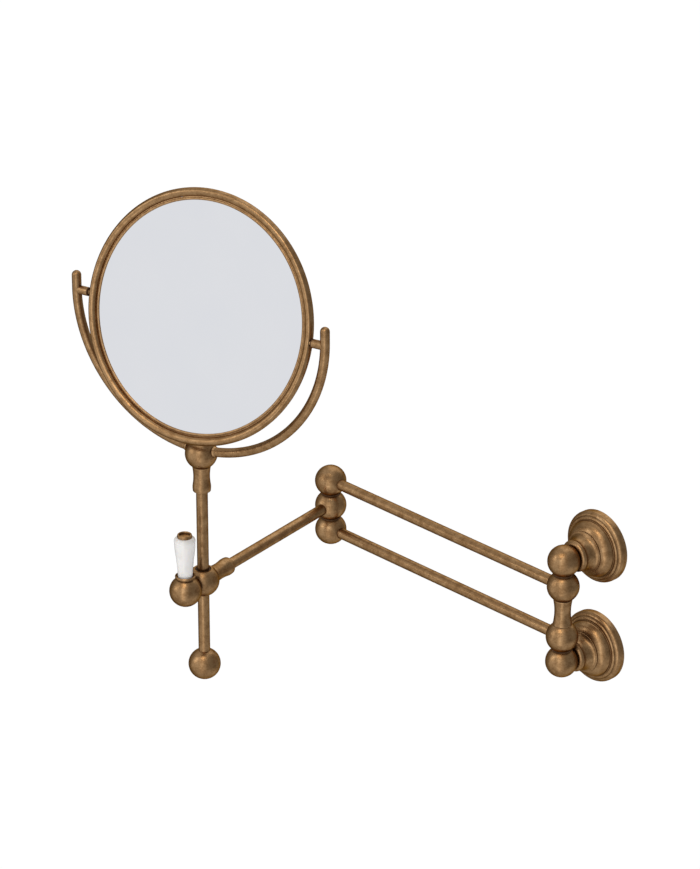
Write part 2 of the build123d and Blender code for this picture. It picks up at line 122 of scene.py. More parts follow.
FRONT_PLANE = 0.0        # face of the plain glass, in front of the frame's middle
FRONT_CREST = 0.95       # top of the front bezel's bead
REAR_PLANE = 4.1         # edge of the magnifying glass, behind the frame's middle
REAR_CREST = 5.0         # top of the rear bezel's bead
GLASS_R = 90.2
GLASS_T = 1.2
CONCAVE_SAG = 1.9
CONCAVE_T = 0.9
PIVOT_R = 3.4            # pins between the fork and the mirror frame
WASHER_GAP = 0.1         # faces of the friction washers, outside the mirror frame
WASHER_END = 0.95
JOURNAL_R = 1.3          # thin end of a pin, in the frame's bush
JOURNAL_END = 93.0
TRUNNION_R = 2.0
TRUNNION_END = 92.5      # bottom of the blind bores in the mirror frame
COLLAR_X = 12.6          # collars where the fork enters the yoke ball
CAP_TOP = 48.0
CAP_DISH_R = 4.5
CAP_DISH = 1.5
FORK_R = 3.65
FORK_HALF = 108.1
FORK_LOW = 3.06
FORK_SWEEP_R = 106.3
MIRROR_TILT = 14.8       # degrees that the mirror looks up

# ---- how finely things are made --------------------------------------------------------------
EDGE = 0.22              # rounding of a turned edge
FINE = 128               # facets round a small turned part
ROSE_FINE = 192          # facets round a rose
NECK_FINE = 160          # facets round its neck
RIM_FINE = 384           # facets round the mirror frame
TUBE_FINE = 64           # facets round the fork
DOME_STEPS = 10          # rings on each domed end of the fork
ARC_STEP = 0.45          # longest run between two points on an arc
ARC_TURN = 12            # most degrees between them
EXPOSURE_REACH = 0.55        # how far the polish of an edge, and the painted shade of a crease, spreads

SIDES = (("upper", 1), ("lower", -1))


# ---- places ----------------------------------------------------------------------------------
def at(point):
    return Matrix.Translation(point)


def turn(degrees, axis):
    return Matrix.Rotation(math.radians(degrees), 4, axis)


def up(millimetres):
    """Step along the local Z axis."""
    return Matrix.Translation((0, 0, millimetres * MM))


def to_wall(side):
    """Frame at a post ball, with local Z running to the wall."""
    return at(COLUMN) @ up(side * 2 * PITCH) @ turn(-90, "X")


ALONG_ROD = at(ELBOW) @ HEADING.to_track_quat("Z", "Y").to_matrix().to_4x4()
YOKE = at(CLAMP) @ turn(math.degrees(math.atan2(TILT_AXIS.y, TILT_AXIS.x)), "Z")
MIRROR_FRAME = YOKE @ up(MIRROR_RISE) @ turn(90 - MIRROR_TILT, "X") @ up(-SET_BACK)


# ---- outlines --------------------------------------------------------------------------------
def arc(start, through, end):
    """Points of the arc from start to end by way of through, without its start."""
    (ax, ay), (bx, by), (cx, cy) = start, through, end
    d = 2 * (ax * (by - cy) + bx * (cy - ay) + cx * (ay - by))
    ux = ((ax**2 + ay**2) * (by - cy) + (bx**2 + by**2) * (cy - ay) + (cx**2 + cy**2) * (ay - by)) / d
    uy = ((ax**2 + ay**2) * (cx - bx) + (bx**2 + by**2) * (ax - cx) + (cx**2 + cy**2) * (bx - ax)) / d
    radius = math.hypot(ax - ux, ay - uy)
    first = math.atan2(ay - uy, ax - ux)
    half = math.atan2(by - uy, bx - ux)
    last = math.atan2(cy - uy, cx - ux)
    sweep = (last - first) % math.tau
    if (half - first) % math.tau > sweep:
        sweep -= math.tau
    count = math.ceil(max(3, abs(sweep) * radius / ARC_STEP, abs(sweep) / math.radians(ARC_TURN)))
    angles = [first + sweep * i / count for i in range(1, count + 1)]
    return [(ux + radius * math.cos(a), uy + radius * math.sin(a)) for a in angles]


def outline(*steps):
    """Points of an outline. A step is a corner (r, z), or an arc as (point on it, its end)."""
    points = [steps[0]]
    for step in steps[1:]:
        if isinstance(step[0], tuple):
            points += arc(points[-1], *step)
        else:
            points.append(step)
    return points


def soften(points, closed):
    """Rounds the sharp corners of an outline, and adds points beside them for their polish."""
    count = len(points)
    result = []
    for i, (x, y) in enumerate(points):
        if not closed and i in (0, count - 1):
            result.append((x, y))
            continue
        before = Vector(points[i - 1]) - Vector((x, y))
        after = Vector(points[(i + 1) % count]) - Vector((x, y))
        if before.length < 1e-6 or after.length < 1e-6:
            continue
        bend = math.pi - before.angle(after)
        if bend < math.radians(20):
            result.append((x, y))
            continue
        cut = min(EDGE * math.tan(bend / 2), 0.42 * before.length, 0.42 * after.length)
        start = Vector((x, y)) + before.normalized() * cut
        end = Vector((x, y)) + after.normalized() * cut
        for step in range(5):
            t = step / 4
            point = start * (1 - t) ** 2 + Vector((x, y)) * (2 * t * (1 - t)) + end * t**2
            result.append((point.x, point.y))
    return graded(result, closed)


def graded(points, closed):
    """Splits long straight runs near their ends."""
    result = []
    pairs = list(zip(points, points[1:] + points[:1]))
    if not closed:
        pairs.pop()
    for a, b in pairs:
        a, b = Vector(a), Vector(b)
        length = (b - a).length
        result.append((a.x, a.y))
        for reach in (0.4, 1.0, 2.2, 5.0):
            if length > 2.4 * reach:
                p = a.lerp(b, reach / length)
                result.append((p.x, p.y))
        for reach in (5.0, 2.2, 1.0, 0.4):
            if length > 2.4 * reach:
                p = b.lerp(a, reach / length)
                result.append((p.x, p.y))
    if not closed:
        result.append(points[-1])
    return result


def sagged(radius, drop):
    """Height over its lowest point of a shallow spherical dish, half way out to its edge."""
    sweep_r = (radius**2 + drop**2) / (2 * drop)
    return sweep_r - math.sqrt(sweep_r**2 - (radius / 2) ** 2)


def polish(points, closed):
    """How exposed each point of an outline is: above zero on outer edges, below in creases."""
    count = len(points)
    along = [0.0]
    for a, b in zip(points, points[1:]):
        along.append(along[-1] + math.dist(a, b))
    bends = []
    for i in range(count):
        if not closed and i in (0, count - 1):
            bends.append(0.0)
            continue
        a, p, b = Vector(points[i - 1]), Vector(points[i]), Vector(points[(i + 1) % count])
        u, v = p - a, b - p
        bends.append(math.atan2(u.x * v.y - u.y * v.x, u.dot(v)))
    exposed = []
    for s in along:
        total = sum(
            bend * math.exp(-(((s - t) / EXPOSURE_REACH) ** 2))
            for bend, t in zip(bends, along)
            if abs(s - t) < 3 * EXPOSURE_REACH
        )
        exposed.append(total)
    return along, exposed


# ---- meshes ----------------------------------------------------------------------------------
def make(name, vertices, faces, uvs, exposed, place):
    """Mesh object with smooth faces, UVs as (turn, metres along), and an exposure attribute."""
    mesh = bpy.data.meshes.new(name)
    mesh.from_pydata(vertices, [], faces)
    layer = mesh.uv_layers.new(name="turning")
    for face, corners in zip(mesh.polygons, uvs):
        for loop, uv in zip(face.loop_indices, corners):
            layer.data[loop].uv = uv
    attribute = mesh.attributes.new("exposed", "FLOAT", "POINT")
    attribute.data.foreach_set("value", exposed)
    mesh.transform(place)
    mesh.shade_smooth()
    made = bpy.data.objects.new(name, mesh)
    bpy.context.scene.collection.objects.link(made)
    return made


def skin(rows, along):
    """Faces and UVs between rows of vertices; corners that meet at a pole are joined."""
    faces = []
    uvs = []
    for (low, high), (s, t) in zip(rows, along):
        for i in range(len(low) - 1):
            u, v = i / (len(low) - 1), (i + 1) / (len(low) - 1)
            corners = [(low[i], (u, s)), (low[i + 1], (v, s)), (high[i + 1], (v, t)), (high[i], (u, t))]
            kept = []
            for corner in corners:
                if corner[0] not in [k[0] for k in kept]:
                    kept.append(corner)
            faces.append([k[0] for k in kept])
            uvs.append([k[1] for k in kept])
    return faces, uvs


def lathe(name, place, points, closed=True, facets=FINE):
    """Turns an outline about local Z. An open outline starts and ends on the axis."""
    points = soften(points, closed)
    area = sum(a[0] * b[1] - b[0] * a[1] for a, b in zip(points, points[1:] + points[:1]))
    if area < 0:
        points.reverse()
    along, exposed = polish(points, closed)
    vertices = []
    values = []
    rings = []
    for (r, z), value in zip(points, exposed):
        if r < 1e-6:
            rings.append([len(vertices)] * (facets + 1))
            vertices.append((0, 0, z * MM))
            values.append(value)
            continue
        first = len(vertices)
        for i in range(facets):
            angle = math.tau * i / facets
            vertices.append((r * MM * math.cos(angle), r * MM * math.sin(angle), z * MM))
            values.append(value)
        rings.append([first + i % facets for i in range(facets + 1)])
    rows = list(zip(rings, rings[1:] + rings[:1]))
    if not closed:
        rows.pop()
    along.append(along[-1] + 1.0)
    faces, uvs = skin(rows, [(s * MM, t * MM) for s, t in zip(along, along[1:])])
    return make(name, vertices, faces, uvs, values, place)


def tube(name, place, path, radius):
    """Round rod with domed ends along a path in the local XZ plane, in millimetres."""
    path = [Vector((x, 0, z)) for x, z in path]
    side = Vector((0, 1, 0))
    rings = []
    ends = []
    for tip, inner, sign in ((path[0], path[1], -1), (path[-1], path[-2], 1)):
        out = (tip - inner).normalized()
        ring = []
        for i in range(1, DOME_STEPS + 1):
            lift = math.pi / 2 * i / DOME_STEPS
            ring.append((tip + out * radius * math.sin(lift), radius * math.cos(lift), out * sign))
        ends.append(ring)
    for centre, r, tangent in reversed(ends[0]):
        rings.append((centre, r, tangent))
    for i, centre in enumerate(path):
        tangent = (path[min(i + 1, len(path) - 1)] - path[max(i - 1, 0)]).normalized()
        rings.append((centre, radius, tangent))
    rings += ends[1]
    vertices = []
    rows = []
    along = [0.0]
    for (a, _, _), (b, _, _) in zip(rings, rings[1:]):
        along.append(along[-1] + (b - a).length * MM)
    for centre, r, tangent in rings:
        if r < 1e-6:
            rows.append([len(vertices)] * (TUBE_FINE + 1))
            vertices.append(centre * MM)
            continue
        across = side.cross(tangent)
        first = len(vertices)
        for i in range(TUBE_FINE):
            angle = math.tau * i / TUBE_FINE
            vertices.append((centre + (side * math.cos(angle) + across * math.sin(angle)) * r) * MM)
        rows.append([first + i % TUBE_FINE for i in range(TUBE_FINE + 1)])
    faces, uvs = skin(zip(rows, rows[1:]), zip(along, along[1:]))
    for face, corners in zip(faces, uvs):
        face.reverse()
        corners.reverse()
    return make(name, vertices, faces, uvs, [0.0] * len(vertices), place)


def cut(piece, cutter):
    """Takes the cutter out of a piece for good, and removes the cutter."""
    modifier = piece.modifiers.new("cut", "BOOLEAN")
    modifier.operation = "DIFFERENCE"
    modifier.solver = "EXACT"
    modifier.object = cutter
    bpy.context.view_layer.update()
    mesh = bpy.data.meshes.new_from_object(piece.evaluated_get(bpy.context.evaluated_depsgraph_get()))
    piece.modifiers.remove(modifier)
    piece.data = mesh
    mesh.set_sharp_from_angle(angle=math.radians(35))
    bpy.data.objects.remove(cutter)
    return piece


# ---- node helpers ----------------------------------------------------------------------------
class Nodes:
    """Short names for the nodes that the materials and the studio below are made of."""

    def __init__(self, owner, shader="Principled BSDF"):
        owner.use_nodes = True
        self.owner = owner
        self.tree = owner.node_tree
        self.shader = self.tree.nodes[shader]

    def put(self, socket, value):
        if isinstance(value, bpy.types.NodeSocket):
            self.tree.links.new(value, socket)
        elif value is not None:
            socket.default_value = value

    def node(self, kind, settings=None, **inputs):
        made = self.tree.nodes.new(kind)
        for key, value in (settings or {}).items():
            setattr(made, key, value)
        for key, value in inputs.items():
            self.put(made.inputs[key], value)
        return made

    def noise(self, vector, scale, detail=3.0, roughness=0.5, w=None):
        settings = {"noise_dimensions": "4D" if w is not None else "3D"}
        shape = {"Scale": scale, "Detail": detail, "Roughness": roughness}
        made = self.node("ShaderNodeTexNoise", settings, Vector=vector, **shape)
        if w is not None:
            self.put(made.inputs["W"], w)
        return made.outputs[0]

    def math(self, operation, a, b=None, clamp=False):
        made = self.node("ShaderNodeMath", {"operation": operation, "use_clamp": clamp})
        self.put(made.inputs[0], a)
        self.put(made.inputs[1], b)
        return made.outputs[0]

    def span(self, value, low, high, to_low=0.0, to_high=1.0, smooth=False):
        made = self.node("ShaderNodeMapRange", {"interpolation_type": "SMOOTHSTEP" if smooth else "LINEAR"})
        numbers = {"Value": value, "From Min": low, "From Max": high, "To Min": to_low, "To Max": to_high}
        for name, number in numbers.items():
            self.put(made.inputs[name], number)
        return made.outputs["Result"]

    def mix(self, factor, a, b):
        made = self.node("ShaderNodeMix", {"data_type": "RGBA"})
        self.put(made.inputs[0], factor)
        self.put(made.inputs[6], a if isinstance(a, bpy.types.NodeSocket) else (*a, 1))
        self.put(made.inputs[7], b if isinstance(b, bpy.types.NodeSocket) else (*b, 1))
        return made.outputs[2]

    def bump(self, height, strength, distance, normal=None):
        made = self.node("ShaderNodeBump", None, Strength=strength, Distance=distance, Height=height)
        self.put(made.inputs["Normal"], normal)
        return made.outputs["Normal"]

    def finish(self, **inputs):
        for key, value in inputs.items():
            self.put(self.shader.inputs[key.replace("_", " ")], value)
        return self.owner


def material(name):
    return Nodes(bpy.data.materials.new(name))


# ---- materials -------------------------------------------------------------------------------
BRASS_MID = (0.425, 0.249, 0.114)
BRASS_LIGHT = (0.54, 0.332, 0.162)
BRASS_DEEP = (0.310, 0.172, 0.074)
# dark brown of the painted shade between parts, in recesses and in creases
BRASS_PAINTED_SHADE = (0.085, 0.037, 0.012)
BRASS_CONTOUR = (0.38, 0.27, 0.20)


def antique_brass(name, turned, shade_amount=1.0, brushed=0.35):
    """Bronzed brass, brushed round its axis: cloudy tone and polished edges, with painted shade darkening its
    creases and the places where parts meet or shelter each other.
    """
    n = material(name)
    place = n.node("ShaderNodeTexCoord").outputs["Object"]
    cloud = n.noise(place, 170.0, 4.0, 0.6)
    mottle = n.noise(place, 800.0, 3.0, 0.65)
    tone = n.math("ADD", n.math("MULTIPLY", cloud, 0.6), n.math("MULTIPLY", mottle, 0.4))
    colour = n.mix(n.span(tone, 0.40, 0.50), BRASS_DEEP, BRASS_MID)
    colour = n.mix(n.span(tone, 0.50, 0.64), colour, BRASS_LIGHT)
    if turned:
        uv = n.node("ShaderNodeUVMap", {"uv_map": "turning"}).outputs["UV"]
        along = n.node("ShaderNodeSeparateXYZ", None, Vector=uv).outputs["Y"]
        brushing = n.noise(place, 260.0, 3.0, 0.6, n.math("MULTIPLY", along, 26.0))
        lines = n.noise(place, 60.0, 2.0, 0.5, n.math("MULTIPLY", along, 160.0))
        exposed = n.node("ShaderNodeAttribute", {"attribute_name": "exposed"}).outputs["Fac"]
    else:
        brushing = n.noise(place, 1800.0, 3.0, 0.6)
        lines = n.noise(place, 5200.0, 2.0, 0.5)
        exposed = n.math("MULTIPLY", n.noise(place, 300.0), 0.1)
    colour = n.mix(n.span(brushing, 0.36, 0.64, 0.0, 0.28), colour, BRASS_DEEP)
    worn = n.math("MULTIPLY", n.span(exposed, 0.22, 0.9), n.span(mottle, 0.34, 0.62, 0.35, 1.0))
    colour = n.mix(n.math("MULTIPLY", worn, 0.45), colour, BRASS_LIGHT)
    # Painted shade: ambient occlusion over 6 mm and 22 mm pulls the colour towards a dark brown where parts meet
    # and in recesses.
    shelter = n.node("ShaderNodeAmbientOcclusion", {"samples": 8}, Distance=0.006).outputs["AO"]
    hidden = n.node("ShaderNodeAmbientOcclusion", {"samples": 8}, Distance=0.022).outputs["AO"]
    recess = n.span(hidden, 0.74, 0.30, 0.0, 0.85, smooth=True)
    # Creases of the turned outline get painted shade as well.
    crease = n.math("MAXIMUM", n.span(exposed, -0.12, -0.8, 0.0, 0.6), recess)
    painted_shade = n.math("MAXIMUM", n.span(shelter, 0.90, 0.38, 0.0, 0.92, smooth=True), crease)
    # shade_amount scales the painted shade, which the cloud breaks up a little.
    painted_shade = n.math("MULTIPLY", painted_shade, n.span(cloud, 0.30, 0.60, 0.8 * shade_amount, shade_amount), clamp=True)
    colour = n.mix(painted_shade, colour, BRASS_PAINTED_SHADE)
    gloss = n.span(tone, 0.36, 0.64, 0.40, 0.26)
    gloss = n.math("ADD", gloss, n.math("MULTIPLY", painted_shade, 0.18))
    normal = n.bump(lines, 0.16, 0.00004)
    normal = n.bump(brushing, 0.18, 0.00010, normal)
    n.finish(Base_Color=colour, Roughness=gloss, Normal=normal, Metallic=1.0, Anisotropic=brushed)
    n.finish(Specular_Tint=(*BRASS_CONTOUR, 1))
    if turned:
        tangent = n.node("ShaderNodeTangent", {"direction_type": "UV_MAP", "uv_map": "turning"})
        n.finish(Tangent=tangent.outputs["Tangent"])
    return n.owner


def porcelain():
    """White glaze over a warm body, with the faint unevenness of a dipped grip."""
    n = material("white_ceramic")
    place = n.node("ShaderNodeTexCoord").outputs["Object"]
    flow = n.noise(place, 120.0, 2.0)
    specks = n.noise(place, 2600.0, 2.0)
    colour = n.mix(n.span(flow, 0.35, 0.65), (0.84, 0.815, 0.79), (0.89, 0.872, 0.85))
    colour = n.mix(n.span(specks, 0.70, 0.78, 0.0, 0.25), colour, (0.62, 0.58, 0.52))
    normal = n.bump(flow, 0.12, 0.0002)
    n.finish(Subsurface_Radius=(0.002, 0.0016, 0.0012))
    return n.finish(
        Base_Color=colour, Roughness=n.span(flow, 0.3, 0.7, 0.16, 0.24), Normal=normal,
        Subsurface_Weight=0.15, Subsurface_Scale=1.0, Coat_Weight=0.6, Coat_Roughness=0.04,
    )


def nylon(name, low, high):
    """Dull moulded plastic or foam with a fine grain."""
    n = material(name)
    place = n.node("ShaderNodeTexCoord").outputs["Object"]
    grain = n.noise(place, 3000.0, 3.0)
    colour = n.mix(n.span(n.noise(place, 400.0), 0.35, 0.65), low, high)
    rough = n.span(grain, 0.3, 0.7, 0.55, 0.68)
    n.finish(Base_Color=colour, Roughness=rough, Normal=n.bump(grain, 0.3, 0.00005))
    return n.finish(Specular_IOR_Level=0.12)


def plain_metal(name, low, high, smooth, rough):
    """Machined metal of the hidden fixings."""
    n = material(name)
    place = n.node("ShaderNodeTexCoord").outputs["Object"]
    cloud = n.noise(place, 260.0, 4.0, 0.6)
    marks = n.noise(place, 2400.0, 3.0, 0.6)
    colour = n.mix(n.span(cloud, 0.35, 0.65), low, high)
    normal = n.bump(marks, 0.25, 0.00006)
    gloss = n.span(marks, 0.3, 0.7, smooth, rough)
    return n.finish(Base_Color=colour, Roughness=gloss, Normal=normal, Metallic=1.0)


def silvered_glass():
    """Mirror: silver behind clear glass, with the slightest haze."""
    n = material("mirror_glass")
    place = n.node("ShaderNodeTexCoord").outputs["Object"]
    haze = n.noise(place, 24.0, 3.0)
    colour = n.mix(n.span(haze, 0.3, 0.7), (0.925, 0.935, 0.955), (0.94, 0.947, 0.96))
    return n.finish(Base_Color=colour, Roughness=n.span(haze, 0.3, 0.7, 0.0, 0.012), Metallic=1.0)


BRASS = antique_brass("antique_brass", True)
# The mirror frame's brass gets less painted shade than the rest.
FRAME_BRASS = antique_brass("antique_brass_frame", True, shade_amount=0.3, brushed=0.6)
MATERIALS = {
    "antique_brass": antique_brass("antique_brass_fixings", False),
    "steel": plain_metal("steel", (0.42, 0.42, 0.43), (0.60, 0.60, 0.61), 0.28, 0.42),
    "bearing_bronze": plain_metal("bearing_bronze", (0.40, 0.24, 0.11), (0.55, 0.34, 0.16), 0.30, 0.45),
    "black_nylon": nylon("black_nylon", (0.060, 0.027, 0.010), (0.095, 0.045, 0.018)),
    "white_ceramic": porcelain(),
    "mirror_glass": silvered_glass(),
    "grey_foam": nylon("grey_foam", (0.16, 0.16, 0.17), (0.24, 0.24, 0.25)),
}


def dress(piece, body, slot, *nodes):
    """Finishes a new piece: its material, its body and the CAD nodes that it stands for."""
    brass = FRAME_BRASS if body == "mirror" else BRASS
    piece.data.materials.clear()
    piece.data.materials.append(brass if slot == "antique_brass" else MATERIALS[slot])
    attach(piece, body)
    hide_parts(*nodes)
    return piece


# ---- shapes used again and again -------------------------------------------------------------
def on_ball(distance):
    """Height of a ball's surface at a distance from its axis, or the distance at a height."""
    return math.sqrt(max(0, BALL_R**2 - distance**2))


def ball_outline(low=-BALL_R, high=BALL_R):
    """Ball about the origin, cut flat at two heights."""
    points = [(0, low)]
    low_r = on_ball(low)
    high_r = on_ball(high)
    if low_r > 0.01:
        points.append((low_r, low))
    points += arc((low_r, low), (BALL_R, 0), (high_r, high))
    if high_r > 0.01:
        points.append((0, high))
    else:
        points[-1] = (0, high)
    return points


def ball(name, place, low=-BALL_R, high=BALL_R):
    return lathe(name, place, ball_outline(low, high), closed=False)


def bar(name, place, radius, low, high):
    return lathe(name, place, outline((0, low), (radius, low), (radius, high), (0, high)), closed=False)


def ring(name, place, outer, inner, low, high):
    return lathe(name, place, outline((inner, low), (outer, low), (outer, high), (inner, high)))


def ferrule(name, place, bore):
    points = outline(
        (bore, SHOULDER), (7.2, SHOULDER), ((6.35, 18.6), (6.85, 25.4)), ((7.1, 28.0), (6.9, 30.4)),
        ((6.75, 31.1), (6.3, FERRULE_END)), (bore, FERRULE_END),
    )
    return lathe(name, place, points)


# ---- wall mount ------------------------------------------------------------------------------
def build_wall_mount():
    for name, side in SIDES:
        place = to_wall(side)
        rose = lathe(f"look_rose_{name}", place, outline(
            (12, CREASE), (16.0, CREASE), ((20.4, 25.6), (22.4, 29.9)),
            ((22.5, 30.6), (23.1, 30.9)), ((24.5, 31.0), (25.3, 31.9)), ((25.5, 32.2), (25.8, 32.2)),
            ((28.0, 33.6), (ROSE_R, 36.2)), (ROSE_R, COLUMN_Y), (ROSE_BORE_R, COLUMN_Y), (ROSE_BORE_R, 34.8),
            (21, 32.6), ((18.9, 28.0), (15.6, 24.6)), (12, 24.6),
        ), facets=ROSE_FINE)
        hole = place @ up(COLUMN_Y - 2) @ turn(-90, "X")
        cut(rose, bar("hole", hole, GRUB_R, ROSE_BORE_R - 0.7, ROSE_R + 1.4))
        dress(rose, "wall_mount", "antique_brass", f"rose_{name}")
        neck = lathe(f"look_rose_neck_{name}", place, outline(
            (STUD_R, on_ball(STUD_R)), ((6.75, on_ball(6.75)), (on_ball(NECK_FLAT), NECK_FLAT)),
            (8.8, NECK_FLAT), ((11.2, 9.6), (12.3, 11.2)), ((12.5, 12.1), (12.15, 13.0)),
            ((12.0, 16.2), (13.1, 19.4)), ((14.6, 21.2), (16.3, 21.9)), (16.3, CREASE),
            (12, CREASE), (12, 31.2), (STUD_R, 31.2),
        ), facets=NECK_FINE)
        dress(neck, "wall_mount", "antique_brass", f"rose_neck_{name}")
        low, high = (-SEAT, BALL_R) if side > 0 else (-BALL_R, SEAT)
        post = ball(f"look_post_ball_{name}", at(COLUMN) @ up(side * 2 * PITCH), low, high)
        dress(post, "wall_mount", "antique_brass", f"post_ball_{name}")
    heights = [side * (2 * PITCH - SEAT - WASHER_T / 2) for _, side in SIDES]
    washers("look_column_washers", COLUMN, heights, "wall_mount", "column_washers")


def washers(name, centre, heights, body, node):
    """A washer at each height on an axis; together they stand for one CAD node."""
    half = WASHER_T / 2
    for number, height in enumerate(heights):
        made = ring(f"{name}_{number}", at(centre) @ up(height), WASHER_R, PIN_R, -half, half)
        dress(made, body, "black_nylon", node)


# ---- swinging bars ---------------------------------------------------------------------------
def build_bars():
    for name, side in SIDES:
        height = up(side * PITCH)
        low, high = (-SHOULDER, SEAT) if side > 0 else (-SEAT, SHOULDER)
        swing = ball(f"look_swing_ball_{name}", at(COLUMN) @ height, low, high)
        dress(swing, "swing_bars", "antique_brass", f"swing_ball_{name}")
        along = at(COLUMN) @ height @ turn(-90, "Y")
        rod = bar(f"look_bar_{name}", along, BAR_R, BAR_SEAT, BAR_LENGTH - BAR_SEAT)
        dress(rod, "swing_bars", "antique_brass", f"bar_{name}")
        low, high = (-SEAT, BALL_R) if side > 0 else (-BALL_R, SEAT)
        elbow = ball(f"look_elbow_ball_{name}", at(ELBOW) @ height, low, high)
        dress(elbow, "swing_bars", "antique_brass", f"elbow_ball_{name}")
    half = PITCH - SHOULDER
    spool = lathe("look_column_spool", at(COLUMN), outline(
        (SPOOL_BORE_R, -half), (SPOOL_END_R, -half), (SPOOL_END_R, 1 - half),
        ((WAIST_R, 0), (SPOOL_END_R, half - 1)), (SPOOL_END_R, half), (SPOOL_BORE_R, half),
    ))
    dress(spool, "swing_bars", "antique_brass", "column_spool")
    heights = [side * (PITCH - SEAT - WASHER_T / 2) for _, side in SIDES]
    washers("look_elbow_washers", ELBOW, heights, "swing_bars", "elbow_washers")


# ---- folding rod and clamp -------------------------------------------------------------------
def build_rod():
    knuckle = ball("look_elbow_ball_middle", at(ELBOW), -SEAT, SEAT)
    dress(knuckle, "folding_rod", "antique_brass", "elbow_ball_middle")
    rod = bar("look_arm_rod", ALONG_ROD, BAR_R, BAR_SEAT, ROD_LENGTH - SHOULDER)
    dress(rod, "folding_rod", "antique_brass", "arm_rod")
    end = ALONG_ROD @ up(ROD_LENGTH)
    collar = ferrule("look_arm_ferrule", end @ turn(180, "X"), BAR_R)
    dress(collar, "folding_rod", "antique_brass", "arm_ferrule")
    clamp = ball("look_clamp_ball", end, -SHOULDER, CONTACT)
    for flip in (0, 180):
        tool = lathe("tool", at(CLAMP) @ turn(flip, "X"), outline(
            (0, -0.5), (LINER_BORE_R, -0.5), (LINER_BORE_R, CLAMP_FLAT),
            (20, CLAMP_FLAT), (20, 20), (0, 20),
        ), closed=False)
        cut(clamp, tool)
    dress(clamp, "folding_rod", "antique_brass", "clamp_ball")
    washer = ring("look_thrust_washer", end, THRUST_R, THRUST_BORE_R, CONTACT, CONTACT + THRUST_T)
    dress(washer, "folding_rod", "black_nylon", "thrust_washer")


# ---- lever -----------------------------------------------------------------------------------
def build_lever():
    here = at(LEVER)
    knob = ball("look_lever_ball", ALONG_ROD @ up(ROD_LENGTH + LEVER_OFFSET), -CONTACT, BALL_R)
    dress(knob, "clamp_lever", "antique_brass", "lever_ball")
    collar = lathe("look_lever_collar", here, outline(
        (2.5, on_ball(2.5)), ((4.6, on_ball(4.6)), (on_ball(10.6), 10.6)),
        ((7.2, 10.95), (7.2, 11.5)), ((7.95, 12.3), (7.5, 13.2)), ((7.1, 13.35), (6.8, 13.1)),
        (6.4, 12.3), (2.5, 12.3),
    ))
    dress(collar, "clamp_lever", "antique_brass", "lever_collar")
    grip = lathe("look_lever_sleeve", here, outline(
        (2.7, 12.3), (5.7, 12.3), ((6.15, 20.5), (7.3, 31.0)), ((7.9, 36.5), (8.05, 41.2)),
        ((7.75, 44.2), (5.9, 45.6)), (5.4, 45.6), (5.4, 44.0), (2.7, 44.0),
    ))
    dress(grip, "clamp_lever", "white_ceramic", "lever_sleeve")
    well = CAP_TOP - CAP_DISH
    cap = lathe("look_lever_cap", here, outline(
        (0, 44.0), (5.3, 44.0), (5.3, 45.6), (5.7, 45.6), ((5.8, 46.5), (5.6, 47.2)),
        ((5.4, 47.8), (4.95, CAP_TOP)), (CAP_DISH_R, CAP_TOP), ((4.25, 47.5), (4.05, well)),
        ((2.0, well + 0.15), (0, well + 0.3)),
    ), closed=False)
    dress(cap, "clamp_lever", "antique_brass", "lever_cap")


# ---- pole and fork ---------------------------------------------------------------------------
def fork_path():
    """Centreline of the fork in the yoke's XZ plane, heights from the clamp."""
    diagonal = math.sqrt(0.5)
    side_r = (FORK_HALF - FORK_SWEEP_R * diagonal) / (1 - diagonal)
    bottom = YOKE_RISE + FORK_LOW
    middle_z = bottom + FORK_SWEEP_R
    reach = FORK_SWEEP_R * diagonal
    post = middle_z + (side_r - FORK_SWEEP_R) * diagonal
    bend_x = FORK_HALF - side_r * (1 - math.cos(math.pi / 8))
    bend_z = post - side_r * math.sin(math.pi / 8)
    tip = FORK_TOP - FORK_R
    points = [(-FORK_HALF, tip), (-FORK_HALF, (tip + post) / 2), (-FORK_HALF, post)]
    points += arc((-FORK_HALF, post), (-bend_x, bend_z), (-reach, middle_z - reach))
    points += arc((-reach, middle_z - reach), (0, bottom), (reach, middle_z - reach))
    points += arc((reach, middle_z - reach), (bend_x, bend_z), (FORK_HALF, post))
    return points + [(FORK_HALF, (tip + post) / 2), (FORK_HALF, tip)]


